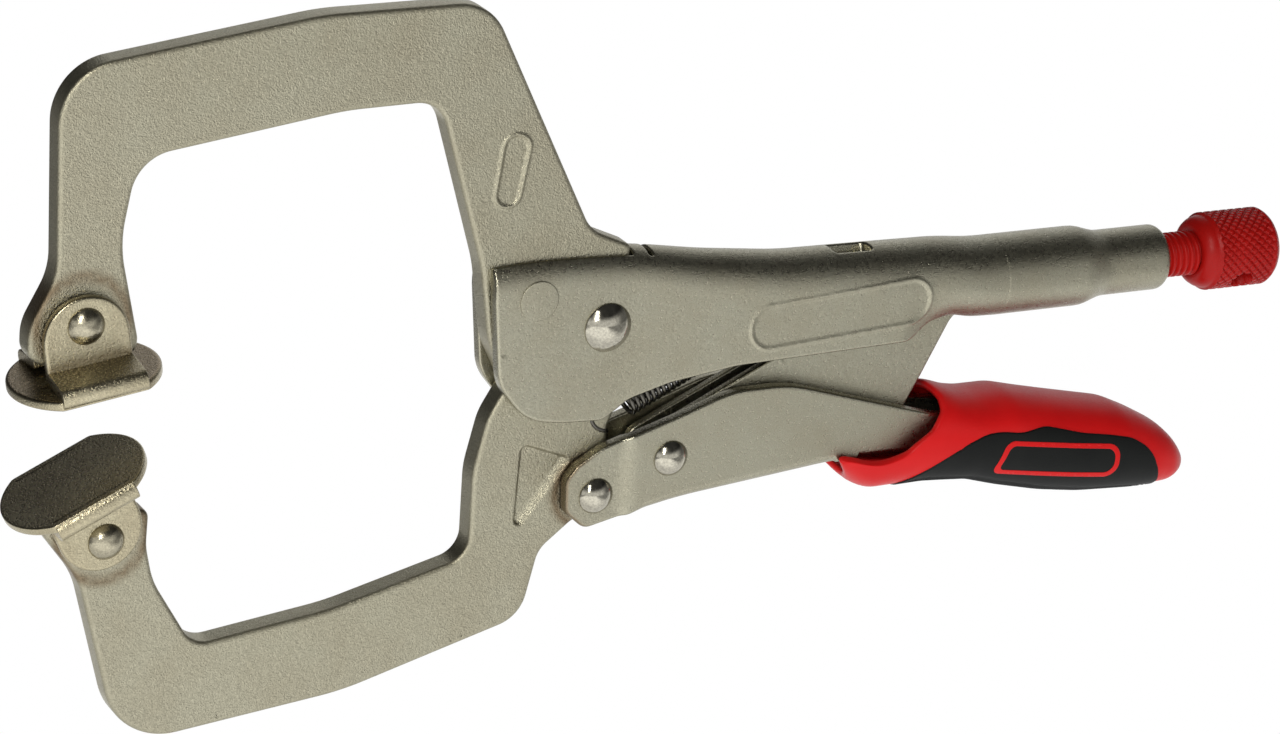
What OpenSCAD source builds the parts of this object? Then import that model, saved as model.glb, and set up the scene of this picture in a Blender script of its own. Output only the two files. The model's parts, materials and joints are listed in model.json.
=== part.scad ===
// Locking C clamp with swivel pads.
// X runs along the adjusting screw towards its knob, Z is up, and Y goes through the thickness.
// The origin is the centre of the fixed pad's contact face, and Y = 0 is the tool's mid-plane.

/* [Stock] */
// Thickness of the forged jaws
jaw_t = 5.6; // [5:0.1:6]
// Thickness of the folded handle sheet
sheet_t = 2.7; // [2.3:0.1:3]
// Gap between a jaw and each cheek beside it
side_gap = 0.3; // [0.2:0.1:0.4]
// Radial play of a rivet or a screw in its bore
bore_play = 0.05; // [0.02:0.01:0.1]

/* [Pivots] */
// Distance from the fixed pad's face centre to the jaw pivot, along X
jaw_pivot_x = 107; // [105:0.5:109]
// Height of the screw axis and the jaw pivot above the fixed pad's face centre
screw_z = 1; // [0:0.5:2]
// Drop from the jaw pivot to the handle pivot
handle_pivot_drop = 36; // [35:0.5:37]
// Distance from the handle pivot to the link pivot, along X
link_pivot_run = 16; // [15.5:0.5:16.5]
// Rise from the handle pivot to the link pivot
link_pivot_rise = 6.5; // [6:0.25:7]
// Place of the link's free end along X
link_end_x = 188; // [187:0.5:189]
// Height of the link's free end
link_end_z = -2.5; // [-3:0.5:-2]

/* [Upper handle] */
// Half the width of the channel at its front
front_half_w = 5.8; // [5.6:0.1:6]
// Outer radius of the round tube at the rear
tube_r = 8.4; // [8:0.1:8.6]
// Outer radius of the nose that holds the screw
nose_r = 6.9; // [6.6:0.1:7.2]
// Place of the nose's end face
nose_end_x = 239.5; // [238:0.5:241]

/* [Screw] */
// Outer radius of the screw thread
thread_r = 4.75; // [4.7:0.05:4.8]
// Thread pitch
thread_pitch = 1.5; // [1.25:0.25:1.75]
// Outer radius of the knurled knob
knob_r = 8.3; // [8:0.1:8.6]
// Place of the knob's front face
knob_x = 248; // [247:0.5:249]
// Length of the knob
knob_len = 19; // [18:0.5:20]
// Radius of the cross hole for a turning bar
cross_hole_r = 2.5; // [2:0.1:2.6]

/* [Swivel pads] */
// Radius of a pad's round plate
pad_r = 14.7; // [14.5:0.1:15]
// Half the width of the plate across its two folds
pad_half_w = 12; // [11.8:0.1:12.2]
// Distance from a pad's pivot to its contact face
pad_h = 12.5; // [12.2:0.1:12.8]
// Thickness of the pad sheet
pad_sheet = 1.8; // [1.5:0.1:2]
// Slope of the fixed pad's face, in degrees
upper_pad_slope = 8.4; // [0:0.1:9]
// Slope of the moving pad's face, in degrees
lower_pad_slope = 25.3; // [24:0.1:26]

/* [Hidden] */
$fn = 48;

cheek_gap = jaw_t + 2 * side_gap;       // clear width between two cheeks or two ears
shank_r = 3;                            // jaw pivot rivet
small_shank_r = 2;                      // every other rivet
flush_shank_r = 4.1;                    // flush rivet through the fixed jaw
jaw_pin = [jaw_pivot_x, screw_z];
handle_pin = jaw_pin - [0, handle_pivot_drop];
link_pin = handle_pin + [link_pivot_run, link_pivot_rise];
link_end = [link_end_x, link_end_z];
flush_pin = [91.6, 8.1];
pad_up_pivot = pad_h * [-sin(upper_pad_slope), cos(upper_pad_slope)];
pad_low_pivot = [3.4, -31.8];
boss_r = 10.5;                          // round of the lower jaw about the jaw pivot
neck_r = 6.4;                           // round of the lower jaw about the handle pivot
root_gap = 0.6;                         // between the lower jaw and the fixed jaw's root
rear_half_w = 6.5;                      // half the width of the lower handle behind its ears
link_half_w = 3.3;
ear_end_x = 112.2;                      // where the lower handle's ears end
joggle_end_x = 115;                     // where its walls have reached their full width
handle_rear_x = 226;                    // end of the lower handle inside the grip
hook_window_x = 159.5;                  // front of the window for the spring's hook
cross_hole_turn = -49;                  // of the knob's cross hole from upright, in degrees
slit_x = 116.8;                         // slit in the crown behind the fixed jaw
jaw_slot_end_x = 113;                   // rear of the crown's slot for the fixed jaw
badge_floor_y = 9.4;                    // the badge frames reach in to here from the flanks
jaw_steel = [0.66, 0.65, 0.6];
sheet_steel = [0.62, 0.61, 0.57];
rivet_steel = [0.75, 0.75, 0.73];
red = [0.75, 0.1, 0.08];
black = [0.12, 0.13, 0.12];

// ---- outlines ----

// Outline whose corners are given as [x, z, radius]; a radius of 0 keeps the corner sharp
function rounded(corners, steps = 6) =
    [for (i = [0:len(corners) - 1])
        let (count = len(corners),
             corner = [corners[i][0], corners[i][1]],
             radius = corners[i][2],
             before = [corners[(i + count - 1) % count][0], corners[(i + count - 1) % count][1]],
             after = [corners[(i + 1) % count][0], corners[(i + 1) % count][1]],
             back = (before - corner) / norm(before - corner),
             ahead = (after - corner) / norm(after - corner),
             half = acos(max(-1, min(1, back * ahead))) / 2)
        each radius == 0 ? [corner] :
            let (centre = corner + (back + ahead) / norm(back + ahead) * radius / sin(half),
                 first = corner + back * radius / tan(half) - centre,
                 last = corner + ahead * radius / tan(half) - centre,
                 sweep = 180 - 2 * half,
                 way = sign(first[0] * last[1] - first[1] * last[0]))
            [for (k = [0:steps]) let (turn = way * sweep * k / steps)
                centre + [first[0] * cos(turn) - first[1] * sin(turn),
                          first[0] * sin(turn) + first[1] * cos(turn)]]];

// Points of an arc about a centre, from one angle to another
function arc(centre, radius, start, stop, steps = 10) =
    [for (k = [0:steps]) let (turn = start + (stop - start) * k / steps)
        centre + radius * [cos(turn), sin(turn)]];

// Corners that stay sharp, as rounded() takes them
function sharp(points) = [for (point = points) [point[0], point[1], 0]];

// Where the tangent from a point touches a circle, on the circle's upper left side
function touch(point, centre, radius) =
    let (reach = centre - point, way = atan2(reach[1], reach[0]) + asin(radius / norm(reach)))
    point + sqrt(reach * reach - radius * radius) * [cos(way), sin(way)];

jaw_corner = [87.5, -10];               // front corner where the two jaws meet
boss_touch = touch(jaw_corner, jaw_pin, boss_r);
edge_way = (boss_touch - jaw_corner) / norm(boss_touch - jaw_corner);
edge_out = root_gap * [-edge_way[1], edge_way[0]];

upper_jaw_outline = rounded([
    [-12.4, 4.3, 4], [-12.3, 12, 10], [-7, 22, 14], [-7.6, 61.4, 12], [45, 68.6, 60],
    [79, 68.8, 11], [103.6, 20.5, 8], [112.6, 16.6, 0], [112.6, 8, 0], [90, -14, 0],
    [86.9, -10.4, 0], [82.6, -1, 20], [80.1, 15, 30], [69.4, 49.7, 6.5], [50, 49.3, 60],
    [8.5, 43.4, 9], [5.5, 27, 25], [9.5, 8, 3], [9.2, 4.3, 3]]);

lower_jaw_outline = rounded([
    [-10.2, -27.6, 2], [-1, -40.3, 18], [8.1, -76.8, 14], [55, -71.8, 60], [93.6, -61, 8],
    [96.8, -46.8, 6], [104.5, -40.9, 0], [handle_pin[0], handle_pin[1], 0], [110.3, -29.5, 0],
    [110.3, -21.5, 2], [jaw_pin[0] + boss_r - 0.3, jaw_pin[1] - 2, 0], [jaw_pin[0], jaw_pin[1], 0],
    [boss_touch[0], boss_touch[1], 0], [jaw_corner[0], jaw_corner[1], 0.6],
    [83.4, -17, 14], [80.9, -28, 20], [81, -46.1, 5.5], [52, -53.6, 60], [22.9, -57.3, 6],
    [14.2, -42.5, 18], [12.6, -35, 14], [12.9, -27, 2]]);

// Stations of the upper handle's crown: place along X, height of its centre line, outer radius
crown = [[82, 10.3, front_half_w], [112, 10.3, front_half_w], [148, 4.1, 7], [186, 2, tube_r - 0.1]];
corner_r = 23.2;                        // the cheek's lower front corner, round about the jaw pivot
cheek_outline = rounded(concat(
    [[82.1, 22, 0], [82.1, 9, 10]], sharp(arc(jaw_pin, corner_r, 180, 226, 8)),
    [[98, -18.3, 10], [107.5, -18.8, 4], [114, -14.3, 8], [137, -10, 30], [176.5, -8.7, 4],
     [181, -6.3, 3], [190, -6.3, 0], [190, 22, 0]]));

handle_outline = rounded([
    [100.2, -31, 3], [102.5, -28.2, 3], [108, -24.9, 12], [124.3, -19.8, 40], [136.5, -15.7, 22],
    [149.5, -15.7, 30], [184, -26, 20], [196, -27.5, 20], [handle_rear_x, -34, 2],
    [handle_rear_x, -41, 2], [196, -35.8, 20], [162.6, -34, 60], [126, -37.8, 60],
    [113, -40.2, 4], [105, -42, 3], [100.5, -38, 3]]);
handle_web = rounded([
    [115.6, -39.9, 1], [126, -37.8, 60], [162.6, -34, 60], [196, -35.8, 20], [handle_rear_x, -41, 2],
    [handle_rear_x, -38.3, 0], [196, -33.1, 20], [162.6, -31.3, 60], [126, -35.1, 60],
    [115.6, -37.2, 0]]);

link_outline = rounded([
    [117, -25, 4], [146, -11.2, 12], [186, 0.8, 3], [191, -1.4, 2.4], [190.6, -4.6, 2.4],
    [188.2, -6.4, 6], [176.6, -29.6, 3], [150, -31.2, 20], [125, -35.2, 5], [117, -32, 3]]);
link_floor = rounded([
    [128, -34.4, 1], [150, -31.2, 20], [177, -29.6, 2], [177.8, -27, 0], [150, -28.6, 20],
    [128, -31.8, 0]]);

// ---- building blocks ----

// A plate on the mid-plane, cut to an X-Z outline
module slab(t) rotate([90, 0, 0]) linear_extrude(t, center = true) children();

// A plate between two places along Y
module between(y0, y1) translate([0, y1, 0]) rotate([90, 0, 0]) linear_extrude(y1 - y0) children();

module both_sides() {
    children();
    mirror([0, 1, 0]) children();
}

// A round bar or hole along Y about an X-Z point
module across(centre, radius, width = 40) translate([centre[0], 0, centre[1]]) rotate([90, 0, 0])
    cylinder(r = radius, h = width, center = true);

// A solid of revolution about the screw axis, from [radius, x] points
module revolve() translate([0, 0, screw_z]) rotate([0, 90, 0]) rotate_extrude() children();

// A rivet along Y with a domed head on each outer face
module rivet(centre, shank, head_r, head_h, half_w) {
    cap_r = (head_r * head_r + head_h * head_h) / (2 * head_h);
    color(rivet_steel) {
        across(centre, shank, 2 * half_w);
        both_sides() translate([centre[0], -half_w, centre[1]]) intersection() {
            translate([0, cap_r - head_h, 0]) sphere(cap_r);
            rotate([90, 0, 0]) cylinder(r = head_r + 1, h = head_h + 1);
        }
    }
}

// ---- upper handle and fixed jaw ----

// A thin cross section of the channel: a round crown on straight cheeks
module crown_slice(station) translate([station[0], 0, 0]) rotate([90, 0, 90]) linear_extrude(0.02) {
    translate([0, station[1]]) circle(station[2], $fn = 32);
    translate([-station[2], -22]) square([2 * station[2], 22 + station[1]]);
}

module channel_outside() {
    intersection() {
        for (i = [0:len(crown) - 2]) hull() {
            crown_slice(crown[i]);
            crown_slice(crown[i + 1]);
        }
        slab(30) polygon(cheek_outline);
    }
    revolve() polygon([[0, 183], [tube_r, 183], [tube_r, 217], [tube_r - 0.4, 219.5], [nose_r, 224.5],
        [nose_r, nose_end_x - 3], [nose_r - 0.8, nose_end_x - 1], [nose_r - 2, nose_end_x], [0, nose_end_x]]);
}

module channel_inside() {
    roof = 2.2;                         // of the cavity above the crown's centre line
    rear_half = tube_r - sheet_t;
    intersection() {
        slab(30) polygon(concat(
            [for (station = crown) [station[0] - (station == crown[0] ? 3 : 0), station[1] + roof]],
            [[190, 4], [190, -30], [78, -30]]));
        translate([0, 0, -30]) linear_extrude(60) polygon([
            [78, -cheek_gap / 2], [112, -cheek_gap / 2], [186, -rear_half], [190, -rear_half],
            [190, rear_half], [186, rear_half], [112, cheek_gap / 2], [78, cheek_gap / 2]]);
    }
    revolve() polygon([[0, 184], [rear_half, 184], [rear_half, 221], [thread_r + bore_play, 224],
        [thread_r + bore_play, nose_end_x + 1], [0, nose_end_x + 1]]);
}

module upper_handle() color(sheet_steel) difference() {
    channel_outside();
    channel_inside();
    // slot for the fixed jaw, through the crown
    translate([78, -cheek_gap / 2, 8]) cube([jaw_slot_end_x - 78, cheek_gap, 14]);
    // open underside of the tube, where the link's end swings
    translate([181, -link_half_w - 0.5, -12]) cube([16, 2 * link_half_w + 1, 14]);
    // window for the spring's hook, and the slit behind the jaw
    translate([hook_window_x, -2.4, 6]) cube([9, 4.8, 10]);
    translate([slit_x, -cheek_gap / 2, 12]) cube([0.8, cheek_gap, 6]);
    across(jaw_pin, shank_r + bore_play);
    across(flush_pin, flush_shank_r + bore_play);
}

module upper_jaw() color(jaw_steel) difference() {
    slab(jaw_t) polygon(upper_jaw_outline);
    across(jaw_pin, boss_r + root_gap, 20);
    slab(20) polygon([jaw_corner + edge_out - 8 * edge_way, boss_touch + edge_out, jaw_pin,
        [jaw_pin[0], -30], [jaw_corner[0], -30]]);
    across(flush_pin, flush_shank_r + bore_play);
    across(pad_up_pivot, small_shank_r + bore_play);
}

module fixed_jaw_rivet() color(rivet_steel) across(flush_pin, flush_shank_r, 2 * front_half_w);

module jaw_pivot_rivet() rivet(jaw_pin, shank_r, 5, 2.4, front_half_w);

module tension_spring() color(rivet_steel) {
    jaw_end = [116.5, -16.5];
    frame_end = [156, 3.2];
    run = frame_end - jaw_end;
    way = atan2(run[1], run[0]);
    // the coil, then the straight leg of the hook in the window
    translate([jaw_end[0], 0, jaw_end[1]]) rotate([0, 90 - way, 0]) cylinder(r = 2.3, h = norm(run));
    translate([frame_end[0], 0, frame_end[1]]) rotate([0, 90 - way, 0])
        translate([0, 0, -0.5]) cylinder(r = 0.5, h = 8);
}

// ---- moving jaw, lower handle and link ----

module lower_jaw() color(jaw_steel) difference() {
    union() {
        slab(jaw_t) polygon(lower_jaw_outline);
        across(jaw_pin, boss_r, jaw_t);
        across(handle_pin, neck_r, jaw_t);
    }
    across(jaw_pin, shank_r + bore_play);
    across(handle_pin, small_shank_r + bore_play);
    across(pad_low_pivot, small_shank_r + bore_play);
    // slot for the spring's hook
    translate([108.4, 0, -21.6]) rotate([0, 45, 0]) cube([6, 20, 0.9], center = true);
}

// Plan of one wall of the lower handle, joggled outward behind its ear
module handle_wall_plan(inner, outer) translate([0, 0, -60]) linear_extrude(60) polygon([
    [95, -inner], [ear_end_x, -inner], [joggle_end_x, -rear_half_w + sheet_t],
    [handle_rear_x + 1, -rear_half_w + sheet_t], [handle_rear_x + 1, -rear_half_w],
    [joggle_end_x, -rear_half_w], [ear_end_x, -outer], [95, -outer]]);

module lower_handle() color(sheet_steel) difference() {
    union() {
        both_sides() intersection() {
            between(-8, -2) polygon(handle_outline);
            handle_wall_plan(cheek_gap / 2, cheek_gap / 2 + sheet_t);
        }
        slab(2 * (rear_half_w - 1)) polygon(handle_web);
    }
    across(handle_pin, small_shank_r + bore_play);
    across(link_pin, small_shank_r + bore_play);
}

module handle_pivot_rivet() rivet(handle_pin, small_shank_r, 3.7, 2, cheek_gap / 2 + sheet_t);

module link_pivot_rivet() rivet(link_pin, small_shank_r, 3.7, 2, rear_half_w);

module toggle_link() color(sheet_steel) difference() {
    union() {
        both_sides() between(-link_half_w, -link_half_w + 2) polygon(link_outline);
        slab(2 * link_half_w - 2) polygon(link_floor);
        across(link_end, 2.2, 2 * link_half_w);
    }
    across(link_pin, small_shank_r + bore_play);
}

// ---- adjusting screw ----

module adjusting_screw() color(red) revolve() {
    root = thread_r - 0.7;
    first = 221;                        // start of the cut thread
    count = floor((knob_x + 7 - first) / thread_pitch);
    tip = 194.6;
    polygon(concat(
        [[0, tip], [root - 1, tip], [root, tip + 1], [root, first]],
        [for (i = [0:count - 1]) each [
            [thread_r, first + (i + 0.35) * thread_pitch], [thread_r, first + (i + 0.6) * thread_pitch],
            [root, first + (i + 1) * thread_pitch]]],
        [[0, first + count * thread_pitch]]));
}

module screw_knob() color(red) difference() {
    revolve() polygon([[0, knob_x], [5.9, knob_x], [7, knob_x + 0.8], [knob_r - 0.5, knob_x + 2.4],
        [knob_r, knob_x + 3.2], [knob_r, knob_x + knob_len - 3], [knob_r - 0.9, knob_x + knob_len - 0.9],
        [knob_r - 2.6, knob_x + knob_len], [0, knob_x + knob_len]]);
    revolve() polygon([[0, knob_x - 1], [thread_r + bore_play, knob_x - 1],
        [thread_r + bore_play, knob_x + 8], [0, knob_x + 8]]);
    translate([knob_x + 10, 0, screw_z]) rotate([cross_hole_turn, 0, 0])
        cylinder(r = cross_hole_r, h = 30, center = true);
}

// ---- swivel pads ----

// A pad about its pivot, with its contact face below it at Z = -pad_h
module pad() {
    inside = cheek_gap / 2;
    outside = inside + pad_sheet;
    chord = sqrt(pad_r * pad_r - pad_half_w * pad_half_w);
    color(sheet_steel) difference() {
        union() {
            intersection() {
                translate([0, 0, -pad_h]) cylinder(r = pad_r, h = pad_sheet);
                translate([-20, -pad_half_w, -20]) cube([40, 2 * pad_half_w, 20]);
            }
            // each fold turns back over the plate and rises to an ear
            both_sides() rotate([90, 0, 90]) linear_extrude(2 * chord, center = true) polygon([
                [-pad_half_w + 2, -pad_h], [-pad_half_w + 0.4, -pad_h], [-pad_half_w - 0.5, -pad_h + 0.8],
                [-pad_half_w - 0.7, -pad_h + 1.8], [-pad_half_w - 0.5, -pad_h + 2.8],
                [-pad_half_w + 0.4, -pad_h + 3.6], [-outside, -pad_h + 4.8], [-outside, -pad_h + 6.4],
                [-inside, -pad_h + 6.4], [-inside, -pad_h + 2.9], [-pad_half_w + 2, -pad_h + 1.6]]);
            both_sides() between(-outside, -inside) polygon(rounded([
                [-chord, -pad_h + 4, 0], [-chord, 5.7, chord - 0.01], [chord, 5.7, chord - 0.01],
                [chord, -pad_h + 4, 0]], 12));
        }
        across([0, 0], small_shank_r + bore_play);
    }
}

module pad_rivet() rivet([0, 0], small_shank_r, 3.6, 2, cheek_gap / 2 + pad_sheet);

module at_upper_pad() translate([pad_up_pivot[0], 0, pad_up_pivot[1]])
    rotate([0, -upper_pad_slope, 0]) children();

module at_lower_pad() translate([pad_low_pivot[0], 0, pad_low_pivot[1]])
    rotate([0, 180 - lower_pad_slope, 0]) children();

module upper_pad() at_upper_pad() pad();
module upper_pad_rivet() at_upper_pad() pad_rivet();
module lower_pad() at_lower_pad() pad();
module lower_pad_rivet() at_lower_pad() pad_rivet();

// ---- grip ----

mouth_outline = rounded([
    [150, -15, 0], [182.2, -15, 0], [184.8, -25, 6], [183, -30, 8], [175.5, -33.8, 8],
    [150, -34.4, 0]]);
insert_outline = rounded([
    [177, -39.6, 1], [190, -31, 8], [195.5, -29.1, 8], [203.5, -30.5, 8], [209.5, -29.6, 8],
    [219, -32.4, 14], [232, -34.9, 12], [238.7, -39, 6], [240.6, -46, 3], [240.6, -52, 0], [177, -52, 0]]);
badge_outline = rounded([[200, -31.9, 2.6], [228.4, -36.1, 3.2], [228.2, -43.7, 3.2], [197, -39.4, 1.5]]);
badge_hole = rounded([[201, -33.3, 1.6], [227.1, -37.1, 2.1], [226.9, -42.2, 2.1], [198.8, -38.4, 0.9]]);

// Stations of the grip's body: place along X, top, bottom, half width
grip_body = [[164, -23, -41, 9.6], [170, -22, -42.2, 10.2], [183, -21.2, -42, 10.8],
    [195, -24, -42.6, 11.2], [204, -24.3, -45.3, 11.6], [217, -27.6, -47.8, 11.8],
    [231, -30.6, -49.2, 11.4], [243, -36.2, -49.6, 9.8], [248.5, -41, -49.2, 7], [251, -44.3, -47.5, 4]];

module grip_slice(station) translate([station[0], 0, (station[1] + station[2]) / 2]) rotate([0, 90, 0])
    scale([(station[1] - station[2]) / 2, station[3], 1]) cylinder(r = 1, h = 0.1, $fn = 32);

module grip_blank() for (i = [0:len(grip_body) - 2]) hull() {
    grip_slice(grip_body[i]);
    grip_slice(grip_body[i + 1]);
}

module tang_space() slab(2 * rear_half_w) polygon(handle_outline);

module grip_shell() color(red) difference() {
    grip_blank();
    slab(40) polygon(mouth_outline);
    slab(40) polygon(insert_outline);
    tang_space();
    // the mouth, round the handle's open top
    translate([150, -rear_half_w - 0.4, -38]) cube([42, 2 * rear_half_w + 0.8, 20]);
}

module insert_blank() difference() {
    intersection() {
        grip_blank();
        slab(40) polygon(insert_outline);
    }
    tang_space();
}

module badge_space(y0, y1) between(y0, y1) difference() {
    polygon(badge_outline);
    polygon(badge_hole);
}

module grip_insert() color(black) difference() {
    insert_blank();
    badge_space(-20, -badge_floor_y);
    badge_space(badge_floor_y, 20);
}

module grip_badge_near() color(red) intersection() {
    insert_blank();
    badge_space(-20, -badge_floor_y);
}

module grip_badge_far() color(red) intersection() {
    insert_blank();
    badge_space(badge_floor_y, 20);
}

upper_handle();
upper_jaw();
fixed_jaw_rivet();
jaw_pivot_rivet();
lower_jaw();
lower_handle();
handle_pivot_rivet();
link_pivot_rivet();
toggle_link();
tension_spring();
adjusting_screw();
screw_knob();
upper_pad();
upper_pad_rivet();
lower_pad();
lower_pad_rivet();
grip_shell();
grip_insert();
grip_badge_near();
grip_badge_far();
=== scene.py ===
"""Locking C clamp with swivel pads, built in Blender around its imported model.

Lengths are in millimetres until a mesh is made: X runs along the adjusting screw, Z is up.
"""

import json
import math

import bmesh
import bpy
import numpy as np
from mathutils import Matrix, Vector
from mathutils.geometry import delaunay_2d_cdt


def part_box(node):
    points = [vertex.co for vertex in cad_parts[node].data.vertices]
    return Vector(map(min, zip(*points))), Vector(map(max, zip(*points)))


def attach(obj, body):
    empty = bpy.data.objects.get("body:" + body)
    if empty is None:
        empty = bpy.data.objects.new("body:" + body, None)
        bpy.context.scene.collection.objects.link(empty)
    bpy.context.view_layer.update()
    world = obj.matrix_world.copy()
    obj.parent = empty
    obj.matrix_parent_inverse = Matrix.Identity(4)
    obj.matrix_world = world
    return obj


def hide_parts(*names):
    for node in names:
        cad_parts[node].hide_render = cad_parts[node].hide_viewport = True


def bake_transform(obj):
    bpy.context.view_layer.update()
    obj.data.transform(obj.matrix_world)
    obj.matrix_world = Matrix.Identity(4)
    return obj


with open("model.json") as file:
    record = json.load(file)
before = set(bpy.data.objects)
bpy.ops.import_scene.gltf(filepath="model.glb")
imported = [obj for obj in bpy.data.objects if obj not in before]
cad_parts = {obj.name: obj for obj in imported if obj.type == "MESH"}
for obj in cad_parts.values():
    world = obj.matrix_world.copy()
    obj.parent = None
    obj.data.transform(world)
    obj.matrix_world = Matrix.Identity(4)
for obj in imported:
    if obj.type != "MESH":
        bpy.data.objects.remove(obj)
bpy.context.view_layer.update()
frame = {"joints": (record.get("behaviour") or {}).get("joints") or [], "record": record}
MM = 0.001

# ---- Where the joints are ----
# The real tool turns on five rivets and one screw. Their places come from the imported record,
# so each piece below is worked out from the same pivots as the solid it stands for.
joints = {joint["name"]: joint for joint in frame["joints"]}


def pivot(joint):
    """The X and Z of a joint's axis in the mid-plane, in millimetres."""
    x, _, z = joints[joint]["pos_m"]
    return np.array([x, z]) / MM


jaw_pivot = pivot("jaw_pivot")
handle_pivot = pivot("handle_pivot")
link_pivot = pivot("link_pivot")
fixed_pad_pivot = pivot("fixed_pad_swivel")
moving_pad_pivot = pivot("moving_pad_swivel")
screw_height = pivot("knob_turn")[1]

# ---- Studio ----
# A plain white sweep lies under the tool, which the metal mirrors as brighter to the front left
# and darker to the front right and back left. Round it are a dark ceiling, a curtain to the back
# left and a flag to the right, which rounded metal mirrors as dark bands, and one tall soft box.
camera_azimuth = math.radians(-28.48)
camera_elevation = math.radians(20.78)
camera_roll = math.radians(4.3)
camera_distance = 0.9005
camera_target = Vector((0.11802, 0.0, -0.01073))
field_of_view = math.radians(16.19)
sensor_width = 36.0


def linear(code):
    """An sRGB hex colour as linear red, green, blue and alpha."""
    share = np.array([int(code[i:i + 2], 16) for i in (1, 3, 5)]) / 255
    return (*np.where(share <= 0.04045, share / 12.92, ((share + 0.055) / 1.055) ** 2.4), 1.0)


def node(tree, kind, sockets=None, **settings):
    """Adds a node, gives it its settings, and links or fills its sockets."""
    made = tree.nodes.new(kind)
    for name, value in settings.items():
        setattr(made, name, value)
    for key, value in (sockets or {}).items():
        if isinstance(value, bpy.types.NodeSocket):
            tree.links.new(value, made.inputs[key])
        else:
            made.inputs[key].default_value = value
    return made


def empty_material(name):
    """A new material without nodes, its node tree, and its Object coordinates."""
    made = bpy.data.materials.new(name)
    made.use_nodes = True
    made.node_tree.nodes.clear()
    place = node(made.node_tree, "ShaderNodeTexCoord").outputs["Object"]
    return made, made.node_tree, place


def soft_box(name, place, target, width, height, power, colour):
    """A rectangular area light at a place, turned so that it shines at a point."""
    light = bpy.data.lights.new(name, "AREA")
    light.shape = "RECTANGLE"
    light.size = width
    light.size_y = height
    light.energy = power
    light.color = linear(colour)[:3]
    lamp = bpy.data.objects.new(name, light)
    bpy.context.scene.collection.objects.link(lamp)
    lamp.location = place
    lamp.rotation_euler = (Vector(target) - lamp.location).to_track_quat("-Z", "Y").to_euler()


def place_camera():
    """The camera stands back along its azimuth and elevation, turned by its roll."""
    away = math.cos(camera_elevation)
    back = Vector((math.sin(camera_azimuth) * away, -math.cos(camera_azimuth) * away,
                   math.sin(camera_elevation)))
    level = Vector((0, 0, 1)).cross(back).normalized()
    upright = back.cross(level)
    right = level * math.cos(camera_roll) + upright * math.sin(camera_roll)
    up = upright * math.cos(camera_roll) - level * math.sin(camera_roll)
    data = bpy.data.cameras.new("camera")
    data.sensor_width = sensor_width
    data.lens = sensor_width / 2 / math.tan(field_of_view / 2)
    data.clip_start = 0.05
    data.clip_end = 50
    camera = bpy.data.objects.new("camera", data)
    bpy.context.scene.collection.objects.link(camera)
    turn = Matrix((right, up, back)).transposed().to_4x4()
    camera.matrix_world = Matrix.Translation(camera_target + back * camera_distance) @ turn
    bpy.context.scene.camera = camera


place_camera()

world = bpy.data.worlds.new("studio")
world.use_nodes = True
bpy.context.scene.world = world
tree = world.node_tree
tree.nodes.clear()
direction = node(tree, "ShaderNodeTexCoord").outputs["Generated"]
along = node(tree, "ShaderNodeSeparateXYZ", {"Vector": direction})
behind = node(tree, "ShaderNodeMapRange", {"Value": along.outputs["Y"], "To Max": 0.6})
height = node(tree, "ShaderNodeMath", {0: along.outputs["Z"], 1: behind.outputs[0]},
              operation="SUBTRACT")
ceiling = node(tree, "ShaderNodeMapRange", {"Value": height.outputs[0], "From Min": 0.2,
               "From Max": 0.54, "To Min": 0.95, "To Max": 0.05}, interpolation_type="SMOOTHSTEP")
back_left = node(tree, "ShaderNodeMath", {0: along.outputs["Y"], 1: along.outputs["X"]},
                 operation="SUBTRACT")
curtain = node(tree, "ShaderNodeMapRange", {"Value": back_left.outputs[0], "From Min": 0.55,
               "From Max": 0.85, "To Min": 1.0, "To Max": 0.05}, interpolation_type="SMOOTHSTEP")
right_flag = node(tree, "ShaderNodeMapRange", {"Value": along.outputs["X"], "From Min": 0.55,
                  "From Max": 0.9, "To Min": 1.0, "To Max": 0.2})
between = node(tree, "ShaderNodeMath", {0: curtain.outputs[0], 1: right_flag.outputs[0]},
               operation="MULTIPLY")
glow = node(tree, "ShaderNodeMath", {0: ceiling.outputs[0], 1: between.outputs[0]},
            operation="MULTIPLY")
sky = node(tree, "ShaderNodeBackground", {"Color": linear("#FFFFFF"), "Strength": glow.outputs[0]})
node(tree, "ShaderNodeOutputWorld", {"Surface": sky.outputs[0]})

soft_box("window", (-0.55, -0.95, 0.80), (0.1, 0, 0), 0.16, 0.8, 9, "#FFFDF8")

floor_mesh = bpy.data.meshes.new("floor")
floor_half = 8.0
floor_height = -0.32
floor_corners = [(x * floor_half, y * floor_half, floor_height)
                 for x, y in ((-1, -1), (1, -1), (1, 1), (-1, 1))]
floor_mesh.from_pydata(floor_corners, [], [(0, 1, 2, 3)])
floor = bpy.data.objects.new("floor", floor_mesh)
bpy.context.scene.collection.objects.link(floor)
white_sweep, tree, spot = empty_material("white_sweep")
at = node(tree, "ShaderNodeSeparateXYZ", {"Vector": spot})
in_front = node(tree, "ShaderNodeMapRange", {"Value": at.outputs["Y"], "From Min": -0.4,
                "From Max": -0.1, "To Min": 1.0, "To Max": 0.0})
across = node(tree, "ShaderNodeMapRange", {"Value": at.outputs["X"], "From Min": 0.25,
              "From Max": 0.75, "To Min": 1.6, "To Max": 0.38})
falling = node(tree, "ShaderNodeMix", {0: in_front.outputs[0], 2: 1.0, 3: across.outputs[0]})
to_back_left = node(tree, "ShaderNodeMath", {0: at.outputs["Y"], 1: at.outputs["X"]},
                    operation="SUBTRACT")
dark_corner = node(tree, "ShaderNodeMapRange", {"Value": to_back_left.outputs[0], "From Min": 0.5,
                  "From Max": 0.85, "To Min": 1.0, "To Max": 0.22})
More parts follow.
